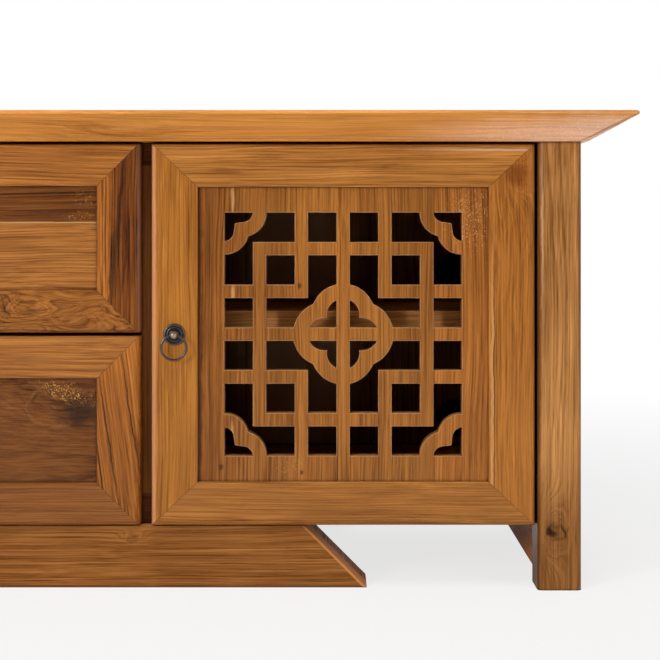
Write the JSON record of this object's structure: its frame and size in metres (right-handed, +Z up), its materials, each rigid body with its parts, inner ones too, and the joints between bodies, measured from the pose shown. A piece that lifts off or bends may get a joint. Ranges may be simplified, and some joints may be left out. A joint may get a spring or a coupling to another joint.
{
  "type": "tv cabinet",
  "caption": "Low solid-teak TV cabinet with an undercut overhanging top, fretwork doors, stacked drawers, bronze ring pulls and a flared base board",
  "frame": {"origin": "on the floor, under the middle of the top", "axes": "+X to the right seen from the front, +Y to the back, +Z up; the front faces -Y"},
  "size_m": [1.6, 0.45, 0.5],
  "materials": {
    "teak_top": "satin varnish, light golden teak",
    "teak_frame": "satin varnish, mid-brown teak",
    "teak_panel": "satin varnish, darker teak",
    "teak_carcass": "satin varnish, mid-brown teak",
    "teak_inside": "matt, stained teak",
    "bronze": "antique dark bronze",
    "steel": "satin plated steel",
    "rim_black": "glossy black"
  },
  "bodies": {
    "carcass": {"top_panel": "teak_top", "top_front_rail": "teak_top", "top_rear_rail": "teak_top", "top_left_rail": "teak_top", "top_right_rail": "teak_top", "leg_front_left": "teak_carcass", "leg_front_right": "teak_carcass", "leg_rear_left": "teak_carcass", "leg_rear_right": "teak_carcass", "side_panels": "teak_carcass", "side_rails": "teak_carcass", "divider_left": "teak_inside", "divider_right": "teak_inside", "carcass_floor": "teak_inside", "shelves": "teak_inside", "cross_rails": "teak_inside", "back_planks": "teak_inside", "back_cable_planks": "teak_inside", "cable_rims": "rim_black", "base_front_board": "teak_carcass", "base_rear_board": "teak_carcass", "base_bearers": "teak_inside", "drawer_runners": "teak_inside", "carcass_fittings": "steel"},
    "right_door": {"right_door_hinge_stile": "teak_frame", "right_door_pull_stile": "teak_frame", "right_door_top_rail": "teak_frame", "right_door_bottom_rail": "teak_frame", "right_door_fret_panel": "teak_panel", "right_door_fittings": "steel", "right_door_pull_plate": "bronze"},
    "right_door_hinge_links": {"right_door_hinge_links": "steel"},
    "right_door_pull_ring": {"right_door_pull_ring": "bronze"},
    "left_door": {"left_door_hinge_stile": "teak_frame", "left_door_pull_stile": "teak_frame", "left_door_top_rail": "teak_frame", "left_door_bottom_rail": "teak_frame", "left_door_fret_panel": "teak_panel", "left_door_fittings": "steel", "left_door_pull_plate": "bronze"},
    "left_door_hinge_links": {"left_door_hinge_links": "steel"},
    "left_door_pull_ring": {"left_door_pull_ring": "bronze"},
    "upper_drawer": {"upper_drawer_left_stile": "teak_frame", "upper_drawer_right_stile": "teak_frame", "upper_drawer_top_rail": "teak_frame", "upper_drawer_bottom_rail": "teak_frame", "upper_drawer_front_panel": "teak_panel", "upper_drawer_box_walls": "teak_inside", "upper_drawer_box_bottom": "teak_inside", "upper_drawer_pull_plate": "bronze"},
    "upper_drawer_pull_ring": {"upper_drawer_pull_ring": "bronze"},
    "lower_drawer": {"lower_drawer_left_stile": "teak_frame", "lower_drawer_right_stile": "teak_frame", "lower_drawer_top_rail": "teak_frame", "lower_drawer_bottom_rail": "teak_frame", "lower_drawer_front_panel": "teak_panel", "lower_drawer_box_walls": "teak_inside", "lower_drawer_box_bottom": "teak_inside", "lower_drawer_pull_plate": "bronze"},
    "lower_drawer_pull_ring": {"lower_drawer_pull_ring": "bronze"}
  },
  "joints": [
    {"name": "right_door_hinge", "type": "hinge", "parent": "carcass", "child": "right_door", "pos_m": [0.7026, -0.175, 0.2686], "axis": [0, 0, 1], "range_deg": [0, 100]},
    {"name": "right_door_link_turn", "type": "hinge", "parent": "carcass", "child": "right_door_hinge_links", "pos_m": [0.7026, -0.175, 0.2686], "axis": [0, 0, 1], "range_deg": [0, 50]},
    {"name": "right_door_ring_swing", "type": "hinge", "parent": "right_door", "child": "right_door_pull_ring", "pos_m": [0.3229, -0.1835, 0.2686], "axis": [-1, 0, 0], "range_deg": [0, 120]},
    {"name": "left_door_hinge", "type": "hinge", "parent": "carcass", "child": "left_door", "pos_m": [-0.7026, -0.175, 0.2686], "axis": [0, 0, -1], "range_deg": [0, 100]},
    {"name": "left_door_link_turn", "type": "hinge", "parent": "carcass", "child": "left_door_hinge_links", "pos_m": [-0.7026, -0.175, 0.2686], "axis": [0, 0, -1], "range_deg": [0, 50]},
    {"name": "left_door_ring_swing", "type": "hinge", "parent": "left_door", "child": "left_door_pull_ring", "pos_m": [-0.3229, -0.1835, 0.2686], "axis": [-1, 0, 0], "range_deg": [0, 120]},
    {"name": "upper_drawer_slide", "type": "slide", "parent": "carcass", "child": "upper_drawer", "axis": [0, -1, 0], "range_m": [0, 0.26]},
    {"name": "upper_drawer_ring_swing", "type": "hinge", "parent": "upper_drawer", "child": "upper_drawer_pull_ring", "pos_m": [0, -0.1795, 0.36965], "axis": [-1, 0, 0], "range_deg": [0, 120]},
    {"name": "lower_drawer_slide", "type": "slide", "parent": "carcass", "child": "lower_drawer", "axis": [0, -1, 0], "range_m": [0, 0.26]},
    {"name": "lower_drawer_ring_swing", "type": "hinge", "parent": "lower_drawer", "child": "lower_drawer_pull_ring", "pos_m": [0, -0.1795, 0.16755], "axis": [-1, 0, 0], "range_deg": [0, 120]}
  ],
  "couplings": [
    {"joint": "right_door_link_turn", "follows": "right_door_hinge", "ratio": 0.5},
    {"joint": "left_door_link_turn", "follows": "left_door_hinge", "ratio": 0.5}
  ]
}
